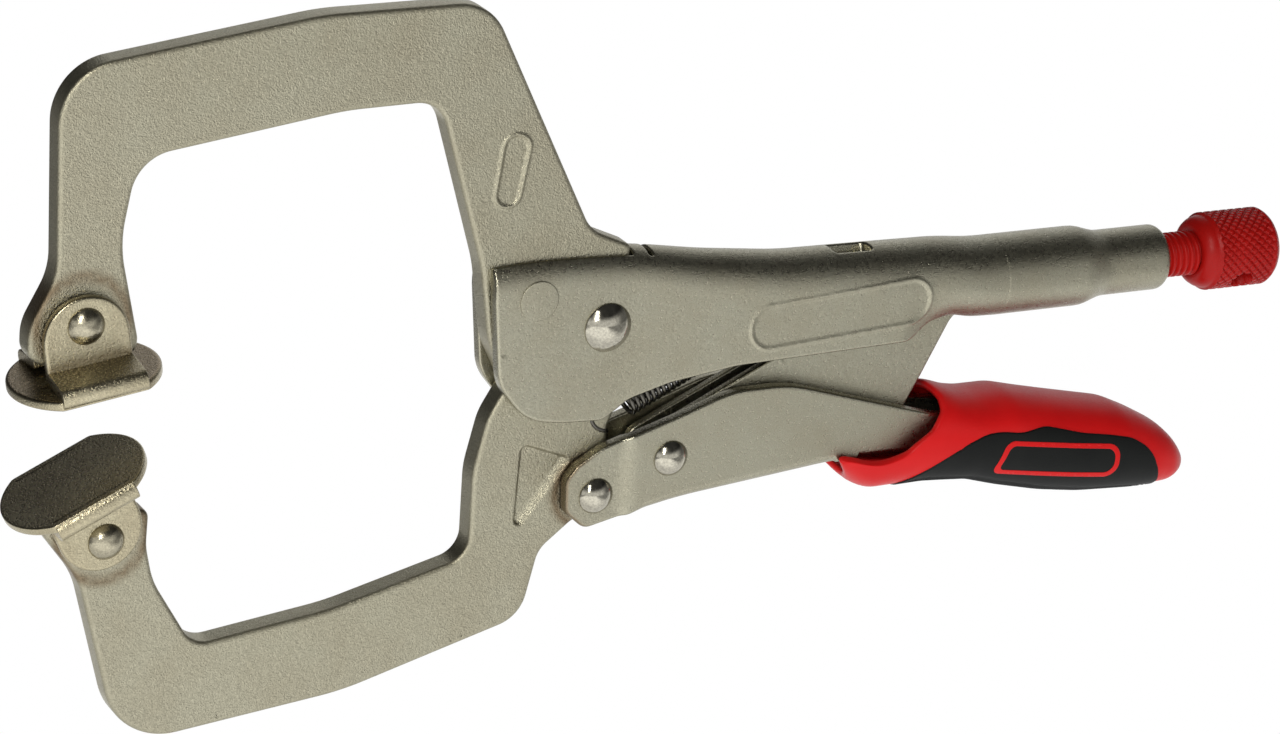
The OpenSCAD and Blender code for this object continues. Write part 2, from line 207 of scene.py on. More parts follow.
glossed = node(tree, "ShaderNodeMath", {0: falling.outputs[0], 1: dark_corner.outputs[0]},
               operation="MULTIPLY")
# The camera sees plain white; only light and reflections meet the brighter and darker parts.
seen = node(tree, "ShaderNodeLightPath").outputs["Is Camera Ray"]
strength = node(tree, "ShaderNodeMix", {0: seen, 2: glossed.outputs[0], 3: 1.0})
lit_paper = node(tree, "ShaderNodeEmission", {"Color": linear("#FFFFFF"), "Strength": strength.outputs[0]})
node(tree, "ShaderNodeOutputMaterial", {"Surface": lit_paper.outputs[0]})
floor_mesh.materials.append(white_sweep)

scene = bpy.context.scene
scene.view_settings.view_transform = "Standard"
scene.view_settings.look = "None"

# ---- Nickel plate ----
# The jaws, handles, pads and rivets are steel with an electroplated nickel coat. On the forged
# and tumbled faces it is satin with a fine pearly grain, and brown staining gathers round the
# pivots. The same brown laid on the pads' disc tops is painted shade.
# Brown for the staining round the pivots and edges, and for painted shade on the pads' disc tops.
stain_and_shade_brown = linear("#5E4426")


def nickel(name, colour, roughness, grain_mm, grain_depth, rim_roughness, cloud=0.06, brown_tint="#8C7F66"):
    """Satin nickel: base colour broken by faint clouds, grain as bump, and its own rim roughness.

    The grain is drawn a few times coarser than real plating, so that it shows. The mesh attribute
    rim is 1 on rounded edges and 0 on flat faces; stain_and_shade is how far the colour turns
    brown: staining on the jaws and lower handle, painted shade on the pads' disc tops, and a band
    on the pads' ears.
    """
    made, tree, place = empty_material(name)
    clouds = node(tree, "ShaderNodeTexNoise", {"Vector": place, "Scale": 90.0, "Detail": 4.0,
                  "Roughness": 0.6})
    grain = node(tree, "ShaderNodeTexNoise", {"Vector": place, "Scale": 1 / (grain_mm * MM),
                 "Detail": 2.0, "Roughness": 0.55})
    coarse = node(tree, "ShaderNodeTexNoise", {"Vector": place, "Scale": 0.35 / (grain_mm * MM),
                  "Detail": 1.0})
    rim = node(tree, "ShaderNodeAttribute", attribute_name="rim").outputs["Fac"]
    tint = node(tree, "ShaderNodeMapRange", {"Value": clouds.outputs["Fac"], "From Min": 0.35,
                "From Max": 0.75, "To Min": 0.0, "To Max": 1.0})
    cloudy = node(tree, "ShaderNodeMath", {0: tint.outputs[0], 1: cloud * 4}, operation="MULTIPLY")
    base = node(tree, "ShaderNodeMix", {0: cloudy.outputs[0], 6: linear(colour), 7: linear(brown_tint)},
                data_type="RGBA")
    speck = node(tree, "ShaderNodeMapRange", {"Value": grain.outputs["Fac"], "From Min": 0.3,
                 "From Max": 0.7, "To Min": 0.8, "To Max": 1.16})
    # The brown mixed in here is real staining on the jaws and handle, and painted shade on the pads' disc
    # tops.
    stain_and_shade = node(tree, "ShaderNodeAttribute", attribute_name="stain_and_shade").outputs["Fac"]
    browned = node(tree, "ShaderNodeMix", {0: stain_and_shade, 6: base.outputs[2], 7: stain_and_shade_brown},
                   data_type="RGBA")
    speckled = node(tree, "ShaderNodeMix", {0: 1.0, 6: browned.outputs[2], 7: speck.outputs[0]},
                    data_type="RGBA", blend_type="MULTIPLY")
    flat_rough = node(tree, "ShaderNodeMapRange", {"Value": coarse.outputs["Fac"], "From Min": 0.3,
                      "From Max": 0.7, "To Min": roughness - 0.05, "To Max": roughness + 0.06})
    rough = node(tree, "ShaderNodeMix", {0: rim, 2: flat_rough.outputs[0], 3: rim_roughness})
    depth = node(tree, "ShaderNodeMapRange", {"Value": rim, "To Min": 1.0, "To Max": 0.55})
    both = node(tree, "ShaderNodeMath", {0: coarse.outputs["Fac"], 1: 0.4, 2: grain.outputs["Fac"]},
                operation="MULTIPLY_ADD")
    bump = node(tree, "ShaderNodeBump", {"Height": both.outputs[0], "Distance": grain_depth * MM,
                "Strength": depth.outputs[0]})
    skin = node(tree, "ShaderNodeBsdfPrincipled", {"Base Color": speckled.outputs[2],
                "Metallic": 1.0, "Roughness": rough.outputs[0], "Normal": bump.outputs[0]})
    node(tree, "ShaderNodeOutputMaterial", {"Surface": skin.outputs[0]})
    return made


forged_nickel = nickel("forged_nickel", "#A6A28E", 0.31, 0.32, 0.19, 0.42)
sheet_nickel = nickel("sheet_nickel", "#A3A08E", 0.31, 0.26, 0.11, 0.24)
pad_nickel = nickel("pad_nickel", "#B2AA90", 0.28, 0.32, 0.13, 0.24, cloud=0.12)
dome_nickel = nickel("dome_nickel", "#B0AC9E", 0.13, 0.5, 0.006, 0.13, cloud=0.03)
satin_dome_nickel = nickel("satin_dome_nickel", "#A8A28E", 0.24, 0.4, 0.03, 0.24)

# ---- Jaws ----
# Two C-shaped jaws, drop-forged from 5.6 mm chrome-vanadium steel, tumbled so that every edge
# is rounded, then plated. The fixed one is riveted into the upper handle.
jaw_thickness = 5.6


def rounded(corners, step=0.5):
    """Points of a closed outline: straight sides joined by arcs tangent to both, each corner
    given as x, z and radius; then evenly spaced, step apart."""
    count = len(corners)
    line = []
    for i, (x, z, radius) in enumerate(corners):
        corner = np.array([x, z])
        before = np.array(corners[i - 1][:2]) - corner
        after = np.array(corners[(i + 1) % count][:2]) - corner
        before = before / np.linalg.norm(before)
        after = after / np.linalg.norm(after)
        half = math.acos(np.clip(before @ after, -1, 1)) / 2
        centre = corner + (before + after) / np.linalg.norm(before + after) * radius / math.sin(half)
        first = corner + before * radius / math.tan(half) - centre
        way = np.sign(first[0] * (corner - centre)[1] - first[1] * (corner - centre)[0])
        turn = way * np.linspace(0, math.pi - 2 * half, 24)
        line.append(centre + np.stack([first[0] * np.cos(turn) - first[1] * np.sin(turn),
                                       first[0] * np.sin(turn) + first[1] * np.cos(turn)], 1))
    return evenly(np.concatenate(line), step)


def evenly(line, step):
    """A closed line's points, moved along it to even spacing."""
    closed = np.vstack([line, line[:1]])
    run = np.concatenate([[0], np.cumsum(np.linalg.norm(np.diff(closed, axis=0), axis=1))])
    keep = np.concatenate([[True], np.diff(run) > 1e-9])
    places = np.linspace(0, run[-1], max(8, int(run[-1] / step)), endpoint=False)
    return np.stack([np.interp(places, run[keep], closed[keep, k]) for k in (0, 1)], 1)


def outward(line):
    """Unit normals of a closed line, pointing out of the area that it goes round."""
    along = np.roll(line, -1, 0) - np.roll(line, 1, 0)
    normal = np.stack([along[:, 1], -along[:, 0]], 1)
    normal /= np.linalg.norm(normal, axis=1, keepdims=True)
    x, z = line.T
    area = np.sum(x * np.roll(z, -1) - np.roll(x, -1) * z)
    return normal * np.sign(area)


def inside(points, line):
    """Which points lie inside a closed line, by counting crossings."""
    x, z = points[:, :1], points[:, 1:]
    x0, z0 = line.T
    x1, z1 = np.roll(line, -1, 0).T
    spans = (z0 > z) != (z1 > z)
    with np.errstate(divide="ignore", invalid="ignore"):
        crossing = x0 + (z - z0) * (x1 - x0) / (z1 - z0)
    return (np.sum(spans & (x < crossing), axis=1) % 2) == 1


def nearest(points, line):
    """Distance from each point to the nearest point of a line, worked out in short stretches."""
    found = np.full(len(points), np.inf)
    stretch = 60
    for part in np.array_split(line, max(1, len(line) // stretch)):
        gap = np.linalg.norm(points[:, None] - part[None], axis=2).min(axis=1)
        found = np.minimum(found, gap)
    return found


def blank(outline, thickness, round_front, round_back, spacing, holes=(), fine=()):
    """A flat blank with rounded rims, as (plan points, depth, rim, faces).

    The rim is a quarter circle at each face, carried along the outline: at angle t it lies
    radius * (1 - sin t) inside the outline and radius * (1 - cos t) below the face. Each face is
    filled with a triangle net on points spacing apart. The front's net is closer within reach of
    each fine line, given as (line, gap, reach). Depth is 0 in front and -thickness at the back.
    """
    plan, depth, rim, faces = [], [], [], []
    total = 0
    front_ring, back_ring = [], []
    turn = np.radians([0, 25, 50, 70, 90])
    margin = 0.3
    half_worn = np.array([0, 0.4, 1, 1, 1, 0.6])
    worn = np.concatenate([half_worn, half_worn[::-1]])
    for line, side in [(outline, 1.0)] + [(hole, -1.0) for hole in holes]:
        normal = outward(line) * side
        count = len(line)
        at = np.arange(count)
        x, z = line.T
        area = np.sum(x * np.roll(z, -1) - np.roll(x, -1) * z) * side
        radius = np.broadcast_to(round_front(line) if callable(round_front) else round_front, count)
        fronts = [(-radius + radius * np.sin(lean), -radius + radius * np.cos(lean)) for lean in turn]
        fronts = [(-radius - margin, 0 * radius), *fronts]
        radius = np.full(count, round_back)
        backs = [(-radius + radius * np.sin(lean), -thickness + radius - radius * np.cos(lean))
                 for lean in turn[::-1]]
        backs = [*backs, (-radius - margin, 0 * radius - thickness)]
        profile = fronts + backs
        for offset, level in profile:
            plan.append(line + normal * offset[:, None])
            depth.append(level)
        rim.append(np.repeat(worn, count))
        for k in range(len(profile) - 1):
            here = total + k * count + at
            beside = total + k * count + (at + 1) % count
            quads = np.stack([here, beside, beside + count, here + count], 1)
            faces += (quads if area > 0 else quads[:, ::-1]).tolist()
        front_ring.append(total + at)
        back_ring.append(total + (len(profile) - 1) * count + at)
        total += len(profile) * count
    plan = np.concatenate(plan)
    depth = np.concatenate(depth)
    rim = np.concatenate(rim)
    row_ratio = 0.866
    around_fine = 1.5
    for rings, level, flip in ((front_ring, 0.0, False), (back_ring, -thickness, True)):
        loops = [plan[ring] for ring in rings]
        nets = []
        areas = [(loops[0].min(0), loops[0].max(0), spacing, None)]
        if not flip:
            areas += [(path.min(0) - around_fine, path.max(0) + around_fine, gap, (path, reach))
                      for path, gap, reach in fine]
        for start, stop, gap, about in areas:
            rows = np.arange(start[1], stop[1], gap * row_ratio)
            net_x, net_z = np.meshgrid(np.arange(start[0], stop[0], gap), rows)
            net_x = net_x + (np.arange(len(rows)) % 2)[:, None] * gap / 2
            net = np.stack([net_x.ravel(), net_z.ravel()], 1)
            net = net[inside(net, loops[0])]
            for loop in loops[1:]:
                net = net[~inside(net, loop)]
            if about is not None:
                net = net[nearest(net, about[0]) < about[1]]
            clear = nearest(net, np.concatenate(loops)) > min(gap, 0.9) * 0.55
            nets.append(net[clear])
        for closer in nets[1:]:
            if len(closer):
                nets[0] = nets[0][nearest(nets[0], closer) > spacing * 0.5]
        net = np.concatenate(nets)
        ring = np.concatenate(rings)
        points = [Vector(point) for point in np.concatenate([plan[ring], net])]
        edges, start = [], 0
        for loop in loops:
            edges += [(start + k, start + (k + 1) % len(loop)) for k in range(len(loop))]
            start += len(loop)
        out, _, filled, origin, _, _ = delaunay_2d_cdt(points, edges, [], 0, 1e-7)
        number = np.concatenate([ring, total + np.arange(len(net))])
        made = [k for k, source in enumerate(origin) if not source]
        index = np.array([number[source[0]] if source else -1 for source in origin])
        index[made] = total + len(net) + np.arange(len(made))
        if made:
            net = np.concatenate([net, [tuple(out[k]) for k in made]])
        middle = np.array([np.mean([out[k] for k in face], axis=0) for face in filled])
        keep = inside(middle, loops[0])
        for loop in loops[1:]:
            keep &= ~inside(middle, loop)
        tris = index[np.array(filled)[keep]]
        faces += (tris[:, ::-1] if flip else tris).tolist()
        plan = np.concatenate([plan, net])
        depth = np.concatenate([depth, np.full(len(net), level)])
        rim = np.concatenate([rim, np.zeros(len(net))])
        total += len(net)
    return plan, depth, rim, faces


def make_piece(name, points, faces, material, body, node_name, rim=None, stain_and_shade=None):
    """Puts millimetre points and faces into a smooth mesh and lets it ride on its body, or leaves
    it free where body is None."""
    mesh = bpy.data.meshes.new(name)
    mesh.from_pydata((np.asarray(points) * MM).tolist(), [], faces)
    for layer, values in (("rim", rim), ("stain_and_shade", stain_and_shade)):
        if values is not None:
            attribute = mesh.attributes.new(layer, "FLOAT", "POINT")
            attribute.data.foreach_set("value", np.asarray(values, np.float32))
    weld(mesh)
    mesh.polygons.foreach_set("use_smooth", [True] * len(mesh.polygons))
    mesh.materials.append(material)
    piece = bpy.data.objects.new(name, mesh)
    bpy.context.scene.collection.objects.link(piece)
    if body:
        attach(piece, body)
    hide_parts(node_name)
    return piece


def weld(mesh):
    """Merges points that meet and turns every face outwards."""
    work = bmesh.new()
    work.from_mesh(mesh)
    bmesh.ops.remove_doubles(work, verts=work.verts, dist=2e-6)
    bmesh.ops.recalc_face_normals(work, faces=work.faces)
    work.to_mesh(mesh)
    work.free()


def flat(plan, depth, front):
    """A blank standing in the X-Z plane, with its front face at Y = front, facing -Y."""
    return np.stack([plan[:, 0], front - depth, plan[:, 1]], 1)


def ease(value, start, stop):
    """0 before start, 1 after stop, and the smooth step 3 s^2 - 2 s^3 between."""
    share = np.clip((value - start) / (stop - start), 0, 1)
    return share * share * (3 - 2 * share)


def ridge(points, line, half_width):
    """A rounded ridge of unit height along a line, from each point's distance to it."""
    gap = nearest(points, line) / half_width
    return np.where(gap < 1, 0.5 + 0.5 * np.cos(np.pi * np.clip(gap, 0, 1)), 0)


# A plain four-cornered ridge stands on the fixed jaw, round a slightly sunk field.
stamp = rounded([[83.6, 42.6, 2.6], [89.2, 40.8, 2.6], [86.8, 26.4, 2.6], [81.9, 28.0, 2.6]], 0.2)
fixed_jaw_outline = rounded([
    [-12.4, 4.3, 4], [-12.3, 12, 10], [-7, 22, 14], [-7.6, 61.4, 12], [45, 68.6, 60],
    [79, 68.8, 11], [103.6, 20.5, 8], [112.6, 16.6, 1.2], [112.6, 10.6, 1.2], [103.4, 16, 11.1],
    [87, -9.7, 1.2], [82.6, -1, 20], [80.1, 15, 30], [69.4, 49.7, 6.5], [50, 49.3, 60],
    [8.5, 43.4, 9], [5.5, 27, 25], [9.5, 8, 3], [9.2, 4.3, 3]])
plan, depth, rim, faces = blank(fixed_jaw_outline, jaw_thickness, 0.9, 0.9, 1.6,
                                fine=[(stamp, 0.28, 1.3)])
front_face = (depth == 0) & (rim == 0)
stamp_height = 0.4
stamp_sink = 0.12
raised = np.where(front_face, stamp_height * ridge(plan, stamp, 0.75), 0)
sunk = np.where(front_face & inside(plan, stamp), stamp_sink, 0)


def stain_about(plan, centre, radius, reach):
    """Brown stain in a ring: strongest at radius from a centre, fading over reach."""
    gap = np.linalg.norm(plan - centre, axis=1) - radius
    return np.exp(-(gap / reach) ** 2)


make_piece("upper_jaw_forging", flat(plan, depth + raised - sunk, -jaw_thickness / 2), faces,
           forged_nickel, "frame", "upper_jaw", rim,
           0.65 * stain_about(plan, fixed_pad_pivot, 9.0, 1.1))

# The moving jaw's neck is thinned by a three-cornered pocket, 1 mm deep, beside the handle pivot.
pocket_rear = np.array([102.6, -27.6])
pocket_foot = np.array([90.6, -43.4])
pocket = rounded([[91.3, -23.2, 1.3], [*pocket_rear, 1.3], [*pocket_foot, 1.3]], 0.25)
moving_jaw_outline = rounded([
    [-10.2, -27.6, 2], [-1, -40.3, 18], [8.1, -76.8, 14], [55, -71.8, 60], [93.6, -61, 8],
    [96.8, -46.8, 6], [103.8, -41.2, 5], [112.6, -38.5, 6], [110.3, -29.5, 2], [110.3, -21.5, 2],
    [117.5, -3.5, 3], [117.5, 11.5, 10.4], [101.3, 11.5, 10.4], [87.5, -10, 1.2],
    [83.4, -17, 14], [80.9, -28, 20], [81, -46.1, 5.5], [52, -53.6, 60], [22.9, -57.3, 6],
    [14.2, -42.5, 18], [12.6, -35, 14], [12.9, -27, 2]])
plan, depth, rim, faces = blank(moving_jaw_outline, jaw_thickness, 0.9, 0.9, 1.6,
                                fine=[(pocket, 0.3, 2.6)])
front_face = (depth == 0) & (rim == 0)
edge_gap = nearest(plan, pocket)
wall = ease(np.where(inside(plan, pocket), edge_gap, -edge_gap), -0.35, 0.45)
diagonal = pocket_rear - pocket_foot
diagonal /= np.linalg.norm(diagonal)
from_corner = plan - pocket_foot
bevel = ease(diagonal[0] * from_corner[:, 1] - diagonal[1] * from_corner[:, 0], -0.5, 1.9)
pressed = np.where(front_face, wall * bevel, 0)
brown_tint = np.maximum(0.7 * stain_about(plan, handle_pivot, 7.6, 1.1),
                   0.65 * stain_about(plan, moving_pad_pivot, 9.0, 1.1))
make_piece("lower_jaw_forging", flat(plan, depth - pressed, -jaw_thickness / 2), faces,
           forged_nickel, "moving_jaw", "lower_jaw", rim, brown_tint)

# ---- Upper handle ----
# One blank of 2.7 mm sheet, folded over into a channel that grips the fixed jaw at the front
# and rolls shut into a round tube at the rear. The tube's necked end is threaded for the screw.
sheet_thickness = 2.7
tube_radius = 8.4
tube_start = 198.0


def faired(x, stations, reach):
    """A line through stations, averaged over reach along X so that it has no kinks."""
    at, value = np.array(stations, float).T
    shifts = np.linspace(-reach / 2, reach / 2, 11)
    return np.mean([np.interp(x + shift, at, value) for shift in shifts], axis=0)


def channel_half_width(x):
    """Half the upper handle's outer width at x, from the narrow front to the round tube."""
    return faired(x, [(82, 5.8), (112, 5.8), (148, 7.0), (186, 8.3), (190, tube_radius),
                      (199, tube_radius), (202, tube_radius - 0.2), (220, tube_radius - 0.2)], 3)


def crown_height(x):
    """Height of the upper handle's crown at x."""
    return faired(x, [(80, 15.8), (86, 16.4), (94, 16.6), (102, 16.4), (111, 16.0), (118, 15.1),
                      (129.5, 13.2), (148, 11.1), (168, 10.7), (186, 10.3), (193, 9.4), (230, 9.4)], 7)


def fold_over(plan, depth):
    """The sheet's X and its distance from the crown line, folded: round the crown in a half
    circle, then straight down the cheek, or on round the tube behind the cheeks."""
    x, across = plan.T
    half = channel_half_width(x)
    centre = crown_height(x) - half
    run = np.abs(across)
    side = np.sign(across)
    angle = np.minimum(run / half, np.pi / 2)
    below = np.maximum(run - half * np.pi / 2, 0)
    outer = half + depth
    rolled = ease(x, 174, 189)
    tube_y = outer * np.cos(below / half)
    tube_drop = outer * np.sin(below / half)
    on_crown = below == 0
    y = np.where(on_crown, outer * np.sin(angle), outer + rolled * (tube_y - outer))
    z = np.where(on_crown, centre + outer * np.cos(angle), centre - below - rolled * (tube_drop - below))
    return np.stack([x, -side * y, z], 1)


def unfold(line, side=1.0):
    """Cheek points in X and Z, as distances from the crown line along the sheet."""
    x, z = line.T
    half = channel_half_width(x)
    return np.stack([x, side * (half * np.pi / 2 + crown_height(x) - half - z)], 1)


cheek_edge = rounded([
    [60, 22, 1], [82.1, 22, 1], [82.1, 9, 12], [83.9, -9, 10], [90.4, -17.2, 12],
    [98.5, -18.5, 8], [107.5, -18.9, 3.5], [113, -15, 6], [121.9, -12.4, 20],
    [137, -10.2, 30], [176.3, -8.7, 4], [181, -6.3, 3], [190, -6.3, 1], [190, 30, 1], [60, 30, 1]])
x, z = cheek_edge.T
start = np.argmin(np.hypot(x - 82.1, z - 11.0))
stop = np.argmin(np.hypot(x - 187.0, z + 6.3))
step = 1 if (stop - start) % len(x) < (start - stop) % len(x) else -1
order = (start + step * np.arange(((stop - start) * step) % len(x) + 1)) % len(x)
near_edge = unfold(cheek_edge[order])
slot_half = 3.3
slot_end = 113.0
gap_angle = math.radians(63)
tube_edge = np.array([[192.0, tube_radius * (math.pi / 2 + gap_angle)],
                      [tube_start - 1.5, tube_radius * (math.pi / 2 + gap_angle)],
                      [tube_start, tube_radius * math.pi - 2.5],
                      [tube_start + 4, tube_radius * math.pi - 1.2]])
near_side = np.concatenate([[[slot_end, slot_half], [82.1, slot_half]], near_edge, tube_edge])
far_side = near_side[::-1] * [1, -1]
sheet_outline = evenly(np.concatenate([near_side, far_side]), 0.5)

# A window and a slit are cut in the crown, and a plain raised panel stands on each cheek.
hook_window = rounded([[159.5, -2.5, 0.9], [168.4, -2.5, 0.9], [168.4, 2.5, 0.9], [159.5, 2.5, 0.9]], 0.35)
slit = rounded([[116.7, -3.3, 0.35], [117.5, -3.3, 0.35], [117.5, 3.3, 0.35], [116.7, 3.3, 0.35]], 0.2)
name_panel = rounded([[139.3, 1.8, 4.4], [180.0, 5.2, 4.4], [179.6, -4.2, 4.4], [139.2, -7.4, 4.4]], 0.3)
panels = [unfold(name_panel), unfold(name_panel, -1.0)]
plan, depth, rim, faces = blank(sheet_outline, sheet_thickness, 0.55, 0.4, 1.25,
                                holes=[hook_window, slit], fine=[(panel, 0.33, 1.1) for panel in panels])
outside = (depth == 0) & (rim == 0)
panel_height = 0.28
panel_sink = 0.1
panel_ridge = np.maximum(ridge(plan, panels[0], 0.75), ridge(plan, panels[1], 0.75))
raised = np.where(outside, panel_height * panel_ridge, 0)
sunk = np.where(outside & (inside(plan, panels[0]) | inside(plan, panels[1])), panel_sink, 0)
channel = (fold_over(plan, depth + raised - sunk), rim, faces)


def join(*parts):
    """Several (points, rim, faces) parts as one."""
    points, rims, faces, start = [], [], [], 0
    for part_points, part_rim, part_faces in parts:
        points.append(part_points)
        rims.append(part_rim)
        faces += [[corner + start for corner in face] for face in part_faces]
        start += len(part_points)
    return np.concatenate(points), np.concatenate(rims), faces


def grid_faces(rows, columns, wrap=True):
    """Quads of a grid, joined round its columns where wrap is set."""
    across = np.arange(columns if wrap else columns - 1)
    row, column = np.meshgrid(np.arange(rows - 1), across, indexing="ij")
    here = row * columns + column
    beside = row * columns + (column + 1) % columns
    return np.stack([here, beside, beside + columns, here + columns], -1).reshape(-1, 4).tolist()


def turned(profile, count):
    """A profile of (X, radius) points turned about the screw axis."""
    x, radius = np.array(profile, float).T
    angle = np.linspace(0, 2 * np.pi, count, endpoint=False)
    points = np.stack([np.repeat(x, count),
                       (radius[:, None] * np.cos(angle)).ravel(),
                       screw_height + (radius[:, None] * np.sin(angle)).ravel()], 1)
    return points, grid_faces(len(x), count)


nose_radius = 6.9
nose_end = 239.5
nose_lip = 1.6
bore_radius = 4.8
tube_sides = 96
inner_radius = tube_radius - sheet_thickness
tube_profile = [(tube_start, inner_radius), (tube_start, tube_radius - 0.4),
                (tube_start + 0.1, tube_radius - 0.12), (tube_start + 0.4, tube_radius),
                (tube_start + 0.9, tube_radius), (tube_start + 2, tube_radius), (216.4, tube_radius)]
neck = ((217.6, 0), (218.8, 0.06), (220, 0.3), (221.4, 0.75), (222.8, 1.15))
tube_profile += [(x, tube_radius - drop) for x, drop in neck]
tube_profile += [(224, nose_radius + 0.06), (225.4, nose_radius), (226.4, nose_radius),
                 (nose_end - 2.6, nose_radius)]
tube_profile += [(nose_end - nose_lip + nose_lip * math.sin(lean),
                  nose_radius - nose_lip + nose_lip * math.cos(lean))
                 for lean in np.radians(np.linspace(0, 90, 7))]
tube_profile += [(nose_end, 5.15), (nose_end - 0.35, bore_radius), (224, bore_radius),
                 (221, inner_radius), (tube_start, inner_radius)]
points, tube_faces = turned(tube_profile, tube_sides)
tube_rim = np.repeat(np.where(np.array(tube_profile)[:, 0] > nose_end - 1.2, 0.7, 0), tube_sides)
points, rim, faces = join(channel, (points, tube_rim, tube_faces))
make_piece("upper_handle_sheet", points, faces, sheet_nickel, "frame", "upper_handle", rim)

# ---- Rivets ----
# Cold-headed steel pins, nickel plated. The three pivots' domes are buffed to small mirrors, the
# two pads' domes are satin, and the pin that holds the fixed jaw is nearly flush with the cheek.


def rivet(name, centre, shank, head, height, half_width, body, node_name, material=dome_nickel, edge=0.18):
    """A domed pin along Y: each head is a spherical cap on a low step, of sphere radius
    (head^2 + height^2) / (2 height)."""
    cap = (head * head + height * height) / (2 * height)
    lean = np.linspace(0, math.asin(head / cap), 22)
    radius = cap * np.sin(lean)
    rise = edge + cap * np.cos(lean) - (cap - height)
    underside = -half_width + 0.3
    near = [(ring, -half_width - up) for ring, up in zip(radius, rise)]
    near += [(head, underside), (shank, underside)]
    profile = np.array(near + [(ring, -y) for ring, y in near[::-1]])
    count = 64
    angle = np.linspace(0, 2 * np.pi, count, endpoint=False)
    points = np.stack([centre[0] + (profile[:, :1] * np.cos(angle)).ravel(),
                       np.repeat(profile[:, 1], count),
                       centre[1] + (profile[:, :1] * np.sin(angle)).ravel()], 1)
    make_piece(name, points, grid_faces(len(profile), count), material, body, node_name)


ear_half = jaw_thickness / 2 + 0.3 + sheet_thickness
pad_sheet = 1.8
pad_ear_half = jaw_thickness / 2 + 0.3 + pad_sheet
rivet("jaw_pivot_pin", jaw_pivot, 3, 5.1, 2.4, 5.8, "frame", "jaw_pivot_rivet")
rivet("handle_pivot_pin", handle_pivot, 2, 3.75, 2.0, ear_half, "handle", "handle_pivot_rivet")
rivet("link_pivot_pin", link_pivot, 2, 3.75, 2.0, 6.5, "handle", "link_pivot_rivet")
rivet("fixed_pad_pin", fixed_pad_pivot, 2, 3.65, 2.0, pad_ear_half, "fixed_jaw_pad", "upper_pad_rivet",
      satin_dome_nickel)
rivet("moving_pad_pin", moving_pad_pivot, 2, 3.65, 2.0, pad_ear_half, "moving_jaw_pad", "lower_pad_rivet",
      satin_dome_nickel)
flush_low, flush_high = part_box("fixed_jaw_rivet")
flush_centre = np.array([(flush_low.x + flush_high.x) / 2, (flush_low.z + flush_high.z) / 2]) / MM
rivet("flush_pin", flush_centre, 4.1, 4.1, 0.06, 5.8, "frame", "fixed_jaw_rivet", sheet_nickel, 0.2)

# ---- Lower handle and toggle link ----
# A channel of the same sheet, open at the top: two walls whose front ears straddle the moving
# jaw, joggled outwards behind the ears, and a web below. The link is a narrower channel inside.
wall_half = 6.5
handle_rear = 226.0


def wall_face(x):
    """Distance of a wall's outer face from the mid-plane, joggled out behind the ear."""
    return ear_half + (wall_half - ear_half) * ease(x, 112.2, 114.7)


def both_sides(plan, height):
    """A plate's near points, and its far ones mirrored in the mid-plane."""
    near = np.stack([plan[:, 0], -height, plan[:, 1]], 1)
    return near, near * [1, -1, 1]


wall_outline = rounded([
    [100.2, -31, 3], [102.5, -28.2, 3], [108, -24.9, 12], [124.3, -19.8, 40], [136.5, -15.7, 22],
    [149.5, -15.7, 30], [184, -26, 20], [196, -27.5, 20], [handle_rear, -34, 2],
    [handle_rear, -41, 2], [196, -35.8, 20], [162.6, -34, 60], [126, -37.8, 60],
    [113, -40.2, 4], [105, -42, 3], [100.5, -38, 3]])


def lower_edge_round(line):
    """The wall bends into the web below, so its lower edge has a larger round behind the ear."""
    x, z = line.T
    below = z < np.interp(x, [100, 113, 226], [-60, -34, -34.5]) - np.where(x > 196, 2.5, 0)
    return np.where(below, 0.6 + 1.3 * ease(x, 114, 119), 0.6)


plan, depth, rim, faces = blank(wall_outline, sheet_thickness, lower_edge_round, 0.4, 1.8)
near, far = both_sides(plan, wall_face(plan[:, 0]) + depth)
web_outline = rounded([[116, -5.4, 1], [handle_rear, -5.4, 1], [handle_rear, 5.4, 1], [116, 5.4, 1]])
web_plan, web_depth, web_rim, web_faces = blank(web_outline, sheet_thickness, 0.4, 0.4, 2.2)
web_x = web_plan[:, 0]
web_z = faired(web_x, [(105, -41.6), (113, -40.1), (126, -37.75), (162.6, -34.1), (196, -35.75),
                       (226, -40.9)], 9)
web = np.stack([web_x, web_plan[:, 1], web_z - web_depth], 1)
points, rim, faces = join((near, rim, faces), (far, rim, faces), (web, web_rim * 0.3, web_faces))
make_piece("lower_handle_channel", points, faces, sheet_nickel, "handle", "lower_handle", rim,
           0.6 * rim * (1 - ease(points[:, 0], 103.0, 108.0)))

link_half = 3.3
link_outline = rounded([
    [117, -25, 3.4], [146, -11.2, 12], [186, 0.8, 3], [191, -1.4, 2.2], [190.6, -4.6, 2.2],
    [188.2, -6.4, 6], [176.6, -29.6, 3], [150, -31.2, 20], [125, -35.2, 5], [117, -32, 3]])
link_sheet = 2.0
plan, depth, rim, faces = blank(link_outline, link_sheet, 0.5, 0.4, 2.2)
near, far = both_sides(plan, link_half + depth)
floor_outline = rounded([[130, -2.9, 1], [176.5, -2.9, 1], [176.5, 2.9, 1], [130, 2.9, 1]])
floor_plan, floor_depth, floor_rim, floor_faces = blank(floor_outline, link_sheet, 0.4, 0.4, 2.2)
floor_z = faired(floor_plan[:, 0], [(120, -35.6), (126, -34.4), (150, -31.1), (177, -29.6)], 6)
link_floor = np.stack([floor_plan[:, 0], floor_plan[:, 1], floor_z - floor_depth], 1)
points, rim, faces = join((near, rim, faces), (far, rim, faces), (link_floor, floor_rim, floor_faces))
make_piece("toggle_link_channel", points, faces, sheet_nickel, "link", "toggle_link", rim)

